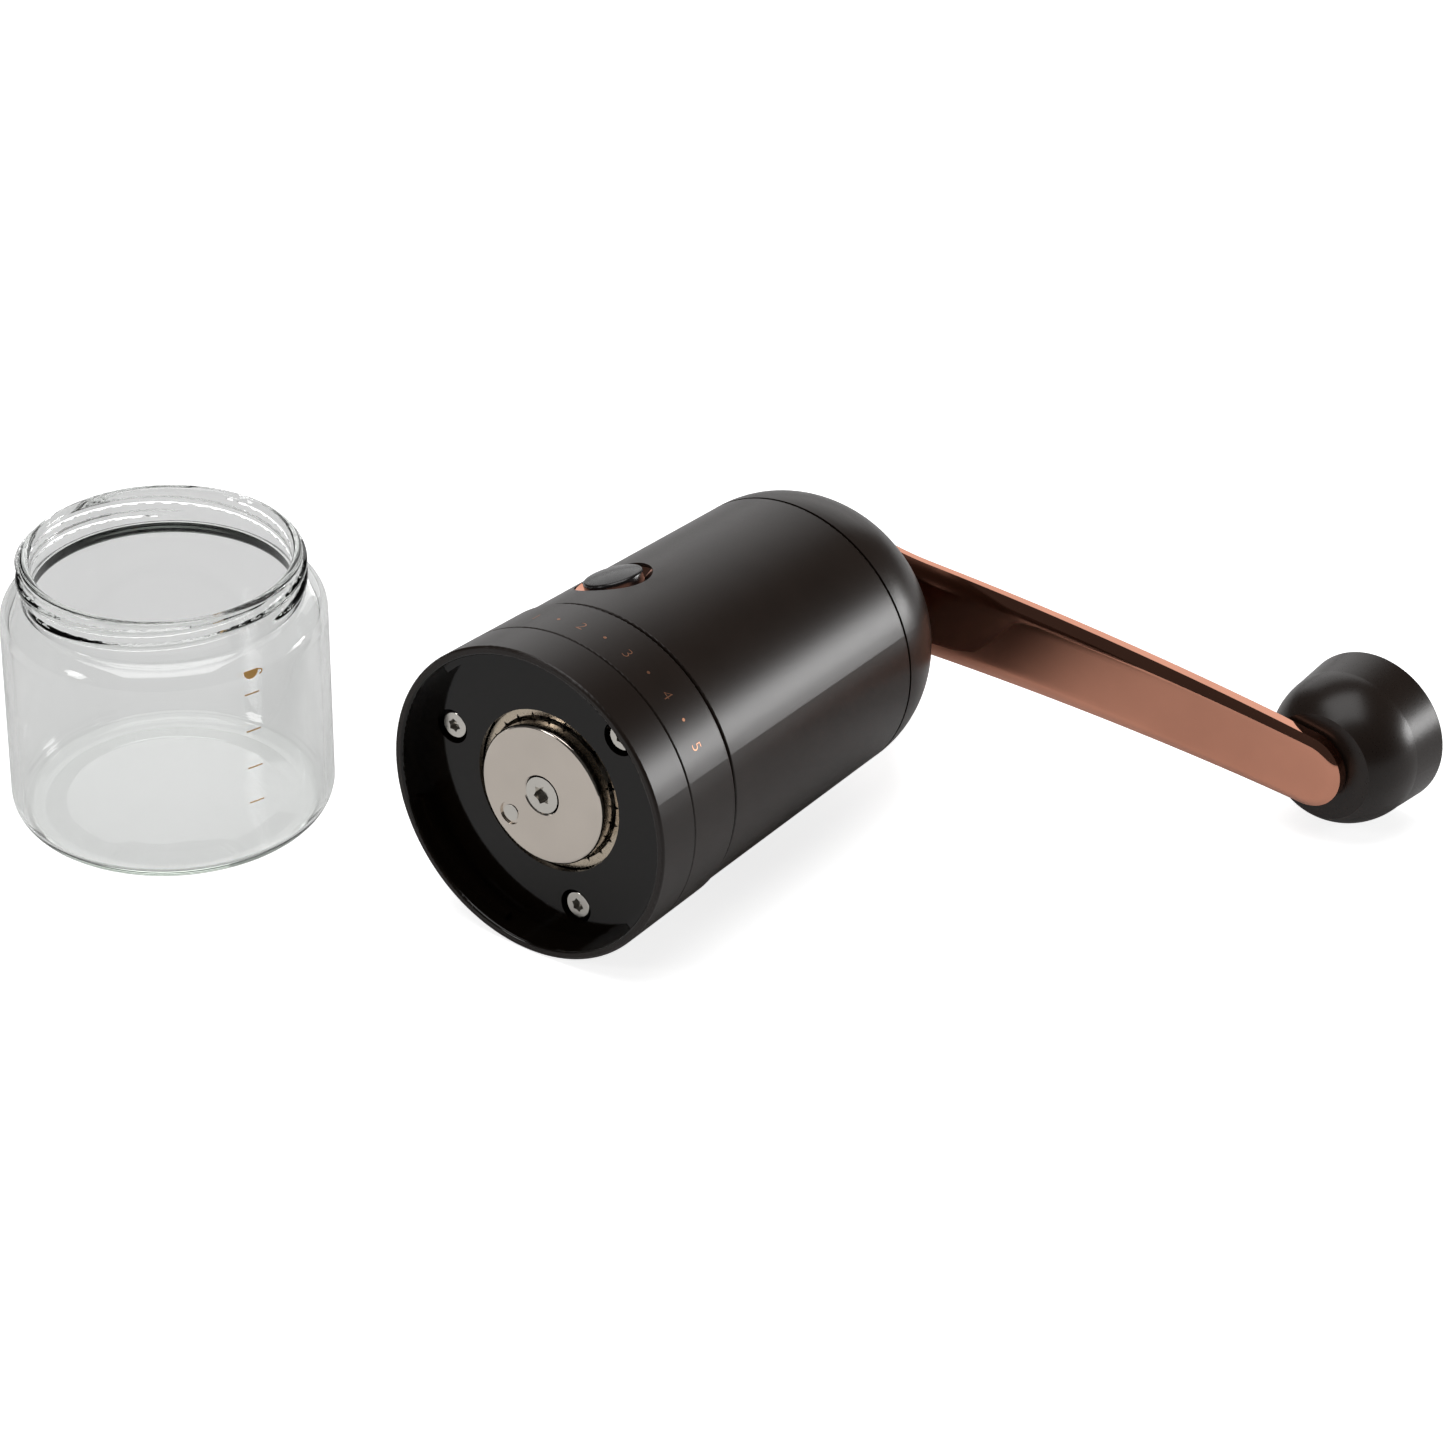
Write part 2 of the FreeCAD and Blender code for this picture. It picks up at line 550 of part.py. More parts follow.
def make_crank_arm():
    """Tapered bar that rises from the boss and levels out under the knob."""
    body = new_body("crank_arm", CRANK)
    lean = "arm_thick * %.3f" % ARM_RISE
    past = "arm_far_base + %.3f * (arm_end + 1)" % ARM_LEVEL
    side = new_sketch(body, "arm_side_sketch", "XZ_Plane")
    draw_outline(side, [
        ("-(arm_root + 1)", "arm_base"), ("bend_start", "arm_base", "bend_arc"),
        ("bend_end", "arm_base + bend_rise", "-sweep_arc"), ("crank_reach", "arm_far_base"),
        ("crank_reach + arm_end + 1", past), ("crank_reach + arm_end + 1", "%s + arm_thick" % past),
        ("crank_reach", "arm_far_base + arm_thick", "sweep_arc + arm_thick"),
        ("bend_end - %s" % lean, "arm_base + bend_rise - 0.07 + arm_thick", "arm_thick - bend_arc"),
        ("bend_start", "arm_base + arm_thick"), ("-(arm_root + 1)", "arm_base + arm_thick")])
    pad(body, "arm_bar", side, "2 * arm_root + 4", symmetric=True)
    plan = new_sketch(body, "arm_plan_sketch", "XY_Plane", "arm_far_base + 20")
    slant = "((arm_root - arm_end) / arm_tip)"
    straight = "sqrt(1 - %s * %s)" % (slant, slant)
    root_x, root_y = "arm_root * %s" % slant, "arm_root * %s" % straight
    end_x, end_y = "arm_tip + arm_end * %s" % slant, "arm_end * %s" % straight
    draw_outline(plan, [
        (root_x, root_y, "arm_root"), ("-arm_root", "0", "arm_root"), (root_x, "-(%s)" % root_y),
        (end_x, "-(%s)" % end_y, "arm_end"), ("arm_tip + arm_end", "0", "arm_end"), (end_x, end_y)])
    border = "arm_root + 10"
    draw_outline(plan, [
        ("-(%s)" % border, "-(%s)" % border), ("crank_reach + %s" % border, "-(%s)" % border),
        ("crank_reach + %s" % border, border), ("-(%s)" % border, border)])
    pocket(body, "arm_plan", plan)
    drill(body, "pin_socket", [("crank_reach", "0")], "knob_pin_radius", "arm_far_base + 20", "17.6")
    drill(body, "arm_screw_bore", [("0", "0")], "2.6", "arm_far_base + 20")


def make_crank_fixings():
    """Domed screw over the mill's axis and the headed pin that the knob turns on."""
    turned("crank_screw", CRANK, [
        ("0", "arm_base - arm_screw_long"), ("arm_screw_radius", "arm_base - arm_screw_long"),
        ("arm_screw_radius", "arm_base + arm_thick"), ("arm_screw_head", "arm_base + arm_thick"),
        ("arm_screw_head", "arm_base + arm_thick + arm_screw_edge", "arm_screw_arc"),
        ("arm_screw_flat", "arm_base + arm_thick + arm_screw_tall"),
        ("0", "arm_base + arm_thick + arm_screw_tall")])
    turned("knob_pin", KNOB, [
        ("0", "arm_far_base + 2.4"), ("knob_pin_radius", "arm_far_base + 2.4"),
        ("knob_pin_radius", "knob_top - 5.9"), ("knob_pin_radius + 2", "knob_top - 5.9"),
        ("knob_pin_radius + 2", "knob_top - 3.9"), ("0", "knob_top - 3.9")])


def make_knob():
    """Round knob, domed towards the arm and flat at its far end, and its end cap."""
    body = turned("knob", KNOB, [
        ("knob_pin_radius + running_gap", "knob_base"), ("knob_foot", "knob_base", "19.3"),
        ("knob_waist", "knob_shoulder"), ("knob_radius", "knob_top"), ("6.5", "knob_top"),
        ("6.5", "knob_top - 2"), ("5.4", "knob_top - 2"), ("5.4", "knob_top - 6.2"),
        ("knob_pin_radius + running_gap", "knob_top - 6.2")])
    round_circles(body, "knob_edge", "edge_round", [("knob_radius", "knob_top")])
    turned("knob_cap", KNOB, [
        ("0", "knob_top - 2"), ("6.45", "knob_top - 2"), ("6.45", "knob_top - 0.15"),
        ("0", "knob_top - 0.15")])


# --------------------------------------------------------------------------- jar
def make_jar():
    """Glass jar with a heavy base, a round shoulder and three thread ridges on its neck."""
    body = turned("jar", JAR, [
        ("0", "foot_hollow"), ("foot_inside - 2", "foot_hollow"), ("foot_inside", "0"),
        ("jar_radius - foot_round", "0", "foot_round"), ("jar_radius", "foot_round"),
        ("jar_radius", "shoulder_base", "shoulder_arc"), ("neck_radius", "neck_base"),
        ("neck_radius", "jar_tall - lip_round", "lip_round"),
        ("neck_radius - lip_round", "jar_tall"),
        ("mouth_radius + lip_round", "jar_tall", "lip_round"),
        ("mouth_radius", "jar_tall - lip_round"),
        ("mouth_radius", "neck_base - 1", "-throat_arc"), ("jar_radius - jar_wall", "throat_base"),
        ("jar_radius - jar_wall", "jar_floor + floor_round - 0.3", "-floor_round"),
        ("jar_radius - jar_wall - 2.4", "jar_floor"), ("0", "jar_floor")])
    for index in range(3):
        name = "thread_%d" % (index + 1)
        sketch = new_sketch(body, name + "_sketch", "XZ_Plane", "0", 120.0 * index)
        draw_outline(sketch, [
            ("neck_radius - 0.3", "thread_foot"), ("thread_radius", "thread_low"),
            ("thread_radius", "thread_high"), ("neck_radius - 0.3", "thread_head")])
        ridge = body.newObject("PartDesign::Revolution", name)
        ridge.Profile = sketch
        ridge.ReferenceAxis = (sketch, [V_AXIS])
        ridge.Angle = number("lug_span")
        ridge.Midplane = True
        ridge.setExpression("Angle", bound("lug_span"))
    doc.recompute()


def check_and_export():
    """Stop on any failed feature or bad solid, then write one STEP file per sub-part."""
    doc.recompute()
    for item in doc.Objects:
        if "Invalid" in item.State or "Error" in item.State:
            raise ValueError("failed: " + item.Name)
    os.makedirs("parts", exist_ok=True)
    for node in NODES:
        shape = node.Shape
        if shape.isNull() or not shape.isValid() or len(shape.Solids) != 1:
            raise ValueError("bad solid: " + node.Label)
        shape.exportStep(os.path.join("parts", node.Label + ".step"))


make_jar_collar()
make_collar_screws()
make_core_frame()
make_outer_burr()
make_spider("upper_bridge", "bridge_base", "bridge_top", "bridge_hub", "bridge_bore",
            "bridge_ring", "hopper_radius", "bridge_base", "bridge_top", "bridge_arm")
make_bushing("upper_bushing", "bridge_bore", "shaft_radius + running_gap",
             "bridge_base - 2", "bridge_top + 2")
make_hopper()
make_body_shell()
make_button_parts()
make_adjust_ring()
make_spider("lower_bridge", "carrier_base", "carrier_top", "carrier_hub", "carrier_bore",
            "carrier_ring", "throat_radius - 0.1", "carrier_foot", "carrier_head", "carrier_arm")
make_bushing("lower_bushing", "carrier_bore", "shaft_radius + running_gap",
             "carrier_base - 1", "carrier_top + 2")
make_drive_shaft()
make_inner_burr()
make_burr_fixings()
make_dome_cap()
make_bushing("dome_bushing", "lid_bore", "spindle_radius + running_gap",
             "lid_bushing_base", "lid_flat - 0.1")
make_crank_spindle()
make_crank_arm()
make_crank_fixings()
make_knob()
make_jar()
check_and_export()
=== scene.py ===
import json
import math

import bmesh
import bpy
import numpy as np
from mathutils import Matrix, Vector


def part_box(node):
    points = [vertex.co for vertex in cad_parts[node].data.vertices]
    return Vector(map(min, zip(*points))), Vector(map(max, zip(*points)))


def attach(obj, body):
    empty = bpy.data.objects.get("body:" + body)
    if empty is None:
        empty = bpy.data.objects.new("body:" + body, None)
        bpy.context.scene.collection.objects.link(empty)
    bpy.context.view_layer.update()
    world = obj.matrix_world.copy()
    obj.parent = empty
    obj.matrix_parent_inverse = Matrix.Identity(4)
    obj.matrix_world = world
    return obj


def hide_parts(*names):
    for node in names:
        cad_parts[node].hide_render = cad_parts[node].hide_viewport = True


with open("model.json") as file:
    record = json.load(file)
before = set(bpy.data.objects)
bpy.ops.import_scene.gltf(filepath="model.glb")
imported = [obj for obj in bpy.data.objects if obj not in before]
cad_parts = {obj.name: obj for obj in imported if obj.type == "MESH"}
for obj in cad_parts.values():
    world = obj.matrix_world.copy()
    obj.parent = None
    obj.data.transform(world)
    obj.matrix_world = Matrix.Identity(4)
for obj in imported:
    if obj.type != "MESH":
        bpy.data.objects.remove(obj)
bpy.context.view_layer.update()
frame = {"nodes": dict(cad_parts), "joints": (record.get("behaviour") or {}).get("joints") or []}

# Hand crank coffee grinder on a white table: the mill lies on its side beside its jar.
# Lengths inside a placement are in millimetres; Blender's own are in metres.

MM = 0.001


# ------------------------------------------------------------------ placements
def placement(origin, across, along):
    """Millimetres to the row frame: X towards `across`, Z along `along`."""
    z_axis = along.normalized()
    x_axis = (across - z_axis * across.dot(z_axis)).normalized()
    turn = Matrix((x_axis, z_axis.cross(x_axis), z_axis)).transposed().to_4x4()
    return Matrix.Translation(origin) @ turn @ Matrix.Scale(MM, 4)


def node_extent(node, place):
    """Lowest and highest corner of a CAD node inside a placement, in millimetres."""
    inverse = place.inverted()
    points = np.array([inverse @ vertex.co for vertex in frame["nodes"][node].data.vertices])
    return points.min(0), points.max(0)


joints = {joint["name"]: joint for joint in frame["joints"]}
AXIS = Vector(joints["crank_turn"]["axis"]).normalized()
RIM_CENTRE = Vector(joints["crank_turn"]["pos_m"])
INWARD = Vector(joints["button_press"]["axis"]).normalized()
KNOB_CENTRE = Vector(joints["knob_turn"]["pos_m"])

MILL = placement(RIM_CENTRE, INWARD.cross(AXIS), AXIS)
CRANK = placement(RIM_CENTRE, KNOB_CENTRE - RIM_CENTRE, AXIS)
JAR_LOW, JAR_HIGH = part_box("jar")
JAR = placement(Vector(((JAR_LOW.x + JAR_HIGH.x) / 2, (JAR_LOW.y + JAR_HIGH.y) / 2, JAR_LOW.z)),
                Vector((1, 0, 0)), Vector((0, 0, 1)))


# ---------------------------------------------------------------- mesh helpers
ARC_STEP = math.radians(7.5)
SHARP_EDGE = math.radians(38)


def rounded(corners):
    """A polyline through (across, up, round) corners, each cut by an arc of its own radius."""
    points = []
    for index, (across, up, size) in enumerate(corners):
        here = Vector((across, up))
        if size == 0 or index in (0, len(corners) - 1):
            points.append(here)
            continue
        arriving = (here - Vector(corners[index - 1][:2])).normalized()
        leaving = (Vector(corners[index + 1][:2]) - here).normalized()
        turn = math.atan2(arriving.x * leaving.y - arriving.y * leaving.x, arriving.dot(leaving))
        start = here - arriving * size * math.tan(abs(turn) / 2)
        side = Vector((-arriving.y, arriving.x)) * math.copysign(1, turn)
        centre = start + side * size
        steps = max(2, math.ceil(abs(turn) / ARC_STEP))
        for step in range(steps + 1):
            points.append(centre + Matrix.Rotation(turn * step / steps, 2) @ (start - centre))
    return points


def split_rows(points, low, high, step):
    """Adds points to the outline's upright stretches between two heights."""
    rows = [points[0]]
    for before, after in zip(points, points[1:]):
        inside = min(before.y, after.y) < high and max(before.y, after.y) > low
        upright = abs(after.y - before.y) > 4 * abs(after.x - before.x)
        count = math.ceil(abs(after.y - before.y) / step) if inside and upright else 1
        rows += [before.lerp(after, part / count) for part in range(1, count + 1)]
    return rows


def lathe(outline, columns, swell=None):
    """Vertices and faces of an outline turned about Z. Its two ends lie on the axis."""
    vertices = [(0, 0, outline[0].y)]
    for index, point in enumerate(outline[1:-1], start=1):
        for column in range(columns):
            angle = 2 * math.pi * column / columns
            radius = point.x + (swell(index, angle, point.y) if swell else 0)
            vertices.append((radius * math.cos(angle), radius * math.sin(angle), point.y))
    vertices.append((0, 0, outline[-1].y))
    faces, last = [], len(vertices) - 1
    rows = len(outline) - 2
    for column in range(columns):
        following = (column + 1) % columns
        faces.append((0, 1 + following, 1 + column))
        for row in range(rows - 1):
            here, above = 1 + row * columns, 1 + (row + 1) * columns
            faces.append((here + column, here + following, above + following, above + column))
        top = 1 + (rows - 1) * columns
        faces.append((top + column, top + following, last))
    return vertices, faces


def add_piece(name, shape, place, body, material, replaced=()):
    """A mesh piece in the row frame, which rides on a CAD body."""
    vertices, faces = shape
    mesh = bpy.data.meshes.new(name)
    mesh.from_pydata([place @ Vector(vertex) for vertex in vertices], [], faces)
    mesh.validate()
    mesh.materials.append(material)
    mesh.shade_smooth()
    mesh.set_sharp_from_angle(angle=SHARP_EDGE)
    piece = bpy.data.objects.new(name, mesh)
    bpy.context.scene.collection.objects.link(piece)
    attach(piece, body)
    if replaced:
        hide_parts(*replaced)
    return piece


def joined(shapes):
    """Several (vertices, faces) shapes as one."""
    vertices, faces = [], []
    for more_vertices, more_faces in shapes:
        start = len(vertices)
        vertices += list(more_vertices)
        faces += [tuple(start + corner for corner in face) for face in more_faces]
    return vertices, faces


def plate(loop, thick):
    """A flat closed plate of an outline, centred on Z = 0."""
    count = len(loop)
    vertices = [(x, y, -thick / 2) for x, y in loop] + [(x, y, thick / 2) for x, y in loop]
    faces = [tuple(reversed(range(count))), tuple(range(count, 2 * count))]
    for here in range(count):
        following = (here + 1) % count
        faces.append((here, following, count + following, count + here))
    return vertices, faces


def ribbon(first, second, thick):
    """A closed strip between two edges, made of narrow slices so that it can be bent."""
    vertices = []
    for (x, y), (u, v) in zip(first, second):
        vertices += [(x, y, -thick / 2), (u, v, -thick / 2), (u, v, thick / 2), (x, y, thick / 2)]
    faces = [(3, 2, 1, 0), tuple(len(vertices) - back for back in (4, 3, 2, 1))]
    for start in range(0, len(vertices) - 4, 4):
        for side in range(4):
            following = (side + 1) % 4
            faces.append((start + side, start + following, start + 4 + following, start + 4 + side))
    return vertices, faces


def disc(radius, thick, corners=24):
    turns = [2 * math.pi * corner / corners for corner in range(corners)]
    return plate([(radius * math.cos(turn), radius * math.sin(turn)) for turn in turns], thick)


def wrapped(shape, angle, height, radius_at):
    """Bends a flat shape round the Z axis: its X runs round, its Y up and its Z outwards."""
    vertices, faces = shape
    bent = []
    for x, y, z in vertices:
        radius = radius_at(height + y) + z
        turn = math.radians(angle) + x / radius_at(height)
        bent.append((radius * math.cos(turn), radius * math.sin(turn), height + y))
    return bent, faces


def lettering(text, size, thin, thick):
    """One numeral as a flat closed shape, centred on its own middle."""
    curve = bpy.data.curves.new("numeral", "FONT")
    curve.body = text
    curve.size = size
    curve.offset = -thin
    curve.extrude = thick / 2
    holder = bpy.data.objects.new("numeral", curve)
    bpy.context.scene.collection.objects.link(holder)
    bpy.context.view_layer.update()
    graph = bpy.context.evaluated_depsgraph_get()
    mesh = bpy.data.meshes.new_from_object(holder.evaluated_get(graph))
    points = np.array([vertex.co for vertex in mesh.vertices])
    middle = (points.min(0) + points.max(0)) / 2
    faces = [tuple(face.vertices) for face in mesh.polygons]
    bpy.data.objects.remove(holder)
    return [tuple(point - middle) for point in points], faces


# -------------------------------------------------------------------- materials
class Finish:
    """A node material built round one Principled shader, with coordinates in millimetres."""

    def __init__(self, name, colour, **sockets):
        self.material = bpy.data.materials.new(name)
        self.material.use_nodes = True
        self.tree = self.material.node_tree
        self.shader = self.tree.nodes["Principled BSDF"]
        self.shader.inputs["Base Color"].default_value = (*colour, 1)
        for socket, value in sockets.items():
            self.shader.inputs[socket.replace("_", " ")].default_value = value
        place = self.node("ShaderNodeTexCoord")
        scale = self.node("ShaderNodeVectorMath", operation="SCALE")
        scale.inputs["Scale"].default_value = 1 / MM
        self.link(place.outputs["Object"], scale.inputs[0])
        self.position = scale.outputs[0]

    def node(self, kind, **settings):
        made = self.tree.nodes.new(kind)
        for setting, value in settings.items():
            setattr(made, setting, value)
        return made

    def link(self, source, target):
        self.tree.links.new(source, target)

    def noise(self, size, detail=2.0, stretch=None):
        """Noise whose features are about `size` millimetres across."""
        texture = self.node("ShaderNodeTexNoise")
        texture.inputs["Scale"].default_value = 1 / size
        texture.inputs["Detail"].default_value = detail
        source = self.position
        if stretch:
            mapping = self.node("ShaderNodeMapping")
            mapping.inputs["Scale"].default_value = stretch
            self.link(source, mapping.inputs["Vector"])
            source = mapping.outputs["Vector"]
        self.link(source, texture.inputs["Vector"])
        return texture.outputs["Fac"]

    def spread(self, source, low, high, start=0.3, end=0.7):
        """Maps a factor onto low..high."""
        mapped = self.node("ShaderNodeMapRange")
        for socket, value in zip(("From Min", "From Max", "To Min", "To Max"), (start, end, low, high)):
            mapped.inputs[socket].default_value = value
        self.link(source, mapped.inputs["Value"])
        return mapped.outputs["Result"]

    def tint(self, source, first, second):
        """Mixes two colours by a factor into the base colour."""
        mix = self.node("ShaderNodeMix", data_type="RGBA")
        mix.inputs["A"].default_value = (*first, 1)
        mix.inputs["B"].default_value = (*second, 1)
        self.link(source, mix.inputs["Factor"])
        self.link(mix.outputs["Result"], self.shader.inputs["Base Color"])

    def bump(self, source, depth, strength=1.0):
        """Raises the surface by up to `depth` millimetres."""
        bump = self.node("ShaderNodeBump")
        bump.inputs["Distance"].default_value = depth * MM
        bump.inputs["Strength"].default_value = strength
        self.link(source, bump.inputs["Height"])
        self.link(bump.outputs["Normal"], self.shader.inputs["Normal"])

    def drive(self, socket, source):
        self.link(source, self.shader.inputs[socket])

    def mill_radius(self):
        """Distance from the mill's axis, in millimetres."""
        offset = self.node("ShaderNodeVectorMath", operation="SUBTRACT")
        offset.inputs[1].default_value = RIM_CENTRE / MM
        self.link(self.position, offset.inputs[0])
        cross = self.node("ShaderNodeVectorMath", operation="CROSS_PRODUCT")
        cross.inputs[1].default_value = AXIS
        self.link(offset.outputs[0], cross.inputs[0])
        length = self.node("ShaderNodeVectorMath", operation="LENGTH")
        self.link(cross.outputs[0], length.inputs[0])
        return length.outputs["Value"]


def satin_metal(name, dark, light, rough):
    """Painted metal: fine grain, a slow colour drift and slightly uneven gloss."""
    finish = Finish(name, dark, Specular_IOR_Level=SATIN_GLOSS)
    finish.tint(finish.spread(finish.noise(14.0, 3.0), 0, 1), dark, light)
    finish.drive("Roughness", finish.spread(finish.noise(0.35, 3.0), rough - 0.03, rough + 0.03))
    finish.bump(finish.noise(0.22, 2.0), 0.006)
    return finish.material


def moulded(name, colour, rough, grain=0.5):
    """Moulded plastic with a faint grain."""
    finish = Finish(name, colour)
    finish.tint(finish.spread(finish.noise(9.0), 0, 1), colour, tuple(1.25 * c for c in colour))
    finish.drive("Roughness", finish.spread(finish.noise(grain * 2, 3.0), rough - 0.04, rough + 0.04))
    finish.bump(finish.noise(grain), 0.008)
    return finish.material


def polished(name, colour, rough, drift=0.02, streak=None):
    """Bright metal with fine polishing marks."""
    finish = Finish(name, colour, Metallic=1.0)
    marks = finish.noise(0.4, 4.0, streak)
    finish.drive("Roughness", finish.spread(marks, rough - drift, rough + drift))
    finish.tint(finish.spread(finish.noise(11.0), 0, 1), colour, tuple(0.94 * c for c in colour))
    finish.bump(marks, 0.001)
    return finish.material


def collar_material():
    """Satin outside; a gloss black cup inside the rim."""
    finish = Finish("collar_gloss", COLLAR_DARK, Specular_IOR_Level=SATIN_GLOSS)
    inside = finish.spread(finish.mill_radius(), 1, 0, CUP_RADIUS + 0.2, CUP_RADIUS + 0.8)
    rough = finish.node("ShaderNodeMix", data_type="FLOAT")
    rough.inputs["A"].default_value = BODY_ROUGH
    rough.inputs["B"].default_value = CUP_ROUGH
    finish.link(inside, rough.inputs["Factor"])
    finish.drive("Roughness", rough.outputs["Result"])
    finish.tint(inside, BODY_DARK, COLLAR_DARK)
    finish.bump(finish.noise(0.22), 0.003)
    return finish.material


def glass_material():
    """Clear soda glass: faint waves, a green edge, and shadows that let the light through."""
    finish = Finish("jar_glass", (1, 1, 1), Roughness=0.0, IOR=1.5, Transmission_Weight=1.0)
    finish.bump(finish.noise(16.0, 1.0), 0.05)
    clear = finish.node("ShaderNodeBsdfTransparent")
    clear.inputs["Color"].default_value = (*GLASS_CLEAR, 1)
    path = finish.node("ShaderNodeLightPath")
    mix = finish.node("ShaderNodeMixShader")
    passing = finish.node("ShaderNodeMath", operation="MAXIMUM")
    finish.link(path.outputs["Is Shadow Ray"], passing.inputs[0])
    finish.link(path.outputs["Is Diffuse Ray"], passing.inputs[1])
    finish.link(passing.outputs["Value"], mix.inputs["Fac"])
    finish.link(finish.shader.outputs["BSDF"], mix.inputs[1])
    finish.link(clear.outputs["BSDF"], mix.inputs[2])
    output = finish.tree.nodes["Material Output"]
    finish.link(mix.outputs["Shader"], output.inputs["Surface"])
    absorb = finish.node("ShaderNodeVolumeAbsorption")
    absorb.inputs["Color"].default_value = (*GLASS_EDGE, 1)
    absorb.inputs["Density"].default_value = GLASS_DENSITY
    finish.link(absorb.outputs["Volume"], output.inputs["Volume"])
    return finish.material


BODY_DARK, BODY_LIGHT, BODY_ROUGH = (0.015, 0.0095, 0.0070), (0.019, 0.0125, 0.0095), 0.32
COLLAR_DARK, CUP_ROUGH = (0.004, 0.0025, 0.0015), 0.07
GLASS_CLEAR, GLASS_EDGE, GLASS_DENSITY = (0.97, 0.97, 0.97), (0.72, 0.93, 0.74), 7.0
CUP_RADIUS, SATIN_GLOSS = 37.0, 0.34

body_brown = satin_metal("body_satin", BODY_DARK, BODY_LIGHT, BODY_ROUGH)
knob_brown = satin_metal("knob_satin", BODY_DARK, BODY_LIGHT, 0.30)
collar_black = collar_material()
button_black = moulded("button_satin", (0.012, 0.010, 0.010), 0.24)
copper = polished("copper_mirror", (0.68, 0.31, 0.21), 0.06)
nickel = polished("burr_nickel", (0.70, 0.63, 0.56), 0.16, 0.04, (1, 1, 0.15))
burr_steel = polished("burr_bare", (0.62, 0.53, 0.42), 0.26, 0.05)
steel = polished("bright_steel", (0.70, 0.67, 0.62), 0.14)
inner_metal = polished("cast_metal", (0.42, 0.41, 0.39), 0.42, 0.06)
inner_plastic = moulded("inner_moulding", (0.020, 0.019, 0.018), 0.42)
bushing = moulded("bushing_moulding", (0.62, 0.60, 0.55), 0.45)
dial_print = polished("dial_print", (0.42, 0.20, 0.12), 0.42, 0.05)
jar_print = moulded("jar_print", (0.78, 0.44, 0.13), 0.4, 0.2)
jar_glass = glass_material()

SLOT_FINISH = {
    "body_brown": body_brown, "collar_black": collar_black, "knob_brown": knob_brown,
    "button_black": button_black, "copper": copper, "nickel": nickel, "burr_steel": burr_steel,
    "steel": steel, "inner_metal": inner_metal, "inner_plastic": inner_plastic,
    "bushing": bushing, "glass": jar_glass}
for node in frame["nodes"].values():
    for index, material in enumerate(node.data.materials):
        node.data.materials[index] = SLOT_FINISH[material.name.split(".")[0]]


# -------------------------------------------------------------------- glass jar
jar_high = node_extent("jar", JAR)[1]
JAR_RADIUS, JAR_TALL = jar_high[0], jar_high[2]
JAR_WALL, NECK_RADIUS, MOUTH_RADIUS = 2.5, 33.5, 31.0
NECK_BASE, JAR_FLOOR, FOOT_HOLLOW = 58.2, 3.3, 0.5
THREAD_TALL, THREAD_HALF, THREAD_COUNT = 0.95, 1.0, 3
THREAD_BASE, THREAD_RISE, THREAD_SPAN, THREAD_FADE = 60.6, 7.4, 240.0, 25.0

jar_outline = rounded([
    (0, FOOT_HOLLOW, 0), (26, FOOT_HOLLOW, 8.0), (31, 0, 2.0), (JAR_RADIUS, 0, 6.5),
    (JAR_RADIUS, NECK_BASE - 1.8, 6.0), (NECK_RADIUS, NECK_BASE, 1.0), (NECK_RADIUS, JAR_TALL, 1.15),
    (MOUTH_RADIUS, JAR_TALL, 1.15), (MOUTH_RADIUS, NECK_BASE - 2.0, 1.6),
    (JAR_RADIUS - JAR_WALL, NECK_BASE - 3.9, 5.0), (JAR_RADIUS - JAR_WALL, JAR_FLOOR, 1.5),
    (0, JAR_FLOOR, 0)])
jar_outline = split_rows(jar_outline, NECK_BASE, JAR_TALL, 0.22)


def thread_swell(index, angle, height):
    """Height of the thread ridges on the outside of the neck."""
    outside = abs(jar_outline[index].x - NECK_RADIUS) < 0.01
    if not outside or height < NECK_BASE or height > JAR_TALL - 1.0:
        return 0.0
    best = 0.0
    for start in range(THREAD_COUNT):
        along = (math.degrees(angle) - 360 * start / THREAD_COUNT) % 360
        if along > THREAD_SPAN:
            continue
        middle = THREAD_BASE + THREAD_RISE * along / THREAD_SPAN
        across = max(0.0, 1 - ((height - middle) / THREAD_HALF) ** 2)
        ends = min(1.0, along / THREAD_FADE, (THREAD_SPAN - along) / THREAD_FADE)
        best = max(best, THREAD_TALL * across ** 0.8 * math.sin(ends * math.pi / 2))
    return best


add_piece("glass_jar", lathe(jar_outline, 256, thread_swell), JAR, "jar", jar_glass, ["jar"])

# print on the front of the jar: a cup and four measuring lines
PRINT_ANGLE, PRINT_THICK, PRINT_PROUD = -17.3, 0.03, 0.045
MARK_HEIGHTS, MARK_LONG, MARK_WIDE, MARK_SLICES = (49.0, 39.0, 29.0, 19.5), 3.85, 0.35, 6
CUP_HEIGHT, CUP_HALF, CUP_DEEP, CUP_LIP = 54.0, 1.95, 2.0, 0.35
HANDLE_OUTER, HANDLE_INNER, HANDLE_RISE = (1.3, 0.85), (0.9, 0.5), -0.75


def arc(radii, centre, turns):
    """Points of an elliptical arc."""
    return [(centre[0] + radii[0] * math.cos(turn), centre[1] + radii[1] * math.sin(turn)) for turn in turns]


def cup_mark():
    """A cup seen from the side: a round bowl with a flat lip, and a ring for its handle."""
    across = arc((CUP_HALF, CUP_DEEP), (0, 0), np.linspace(math.pi, 2 * math.pi, 17))
    bowl = ribbon(across, [(x, CUP_LIP) for x, _ in across], PRINT_THICK)
    middle, turns = (CUP_HALF, HANDLE_RISE), np.linspace(-0.42 * math.pi, 0.5 * math.pi, 11)
    handle = ribbon(arc(HANDLE_OUTER, middle, turns), arc(HANDLE_INNER, middle, turns), PRINT_THICK)
    return joined([bowl, handle])


def jar_skin(_height):
    """Radius of the print on the jar's upright wall."""
    return JAR_RADIUS + PRINT_PROUD


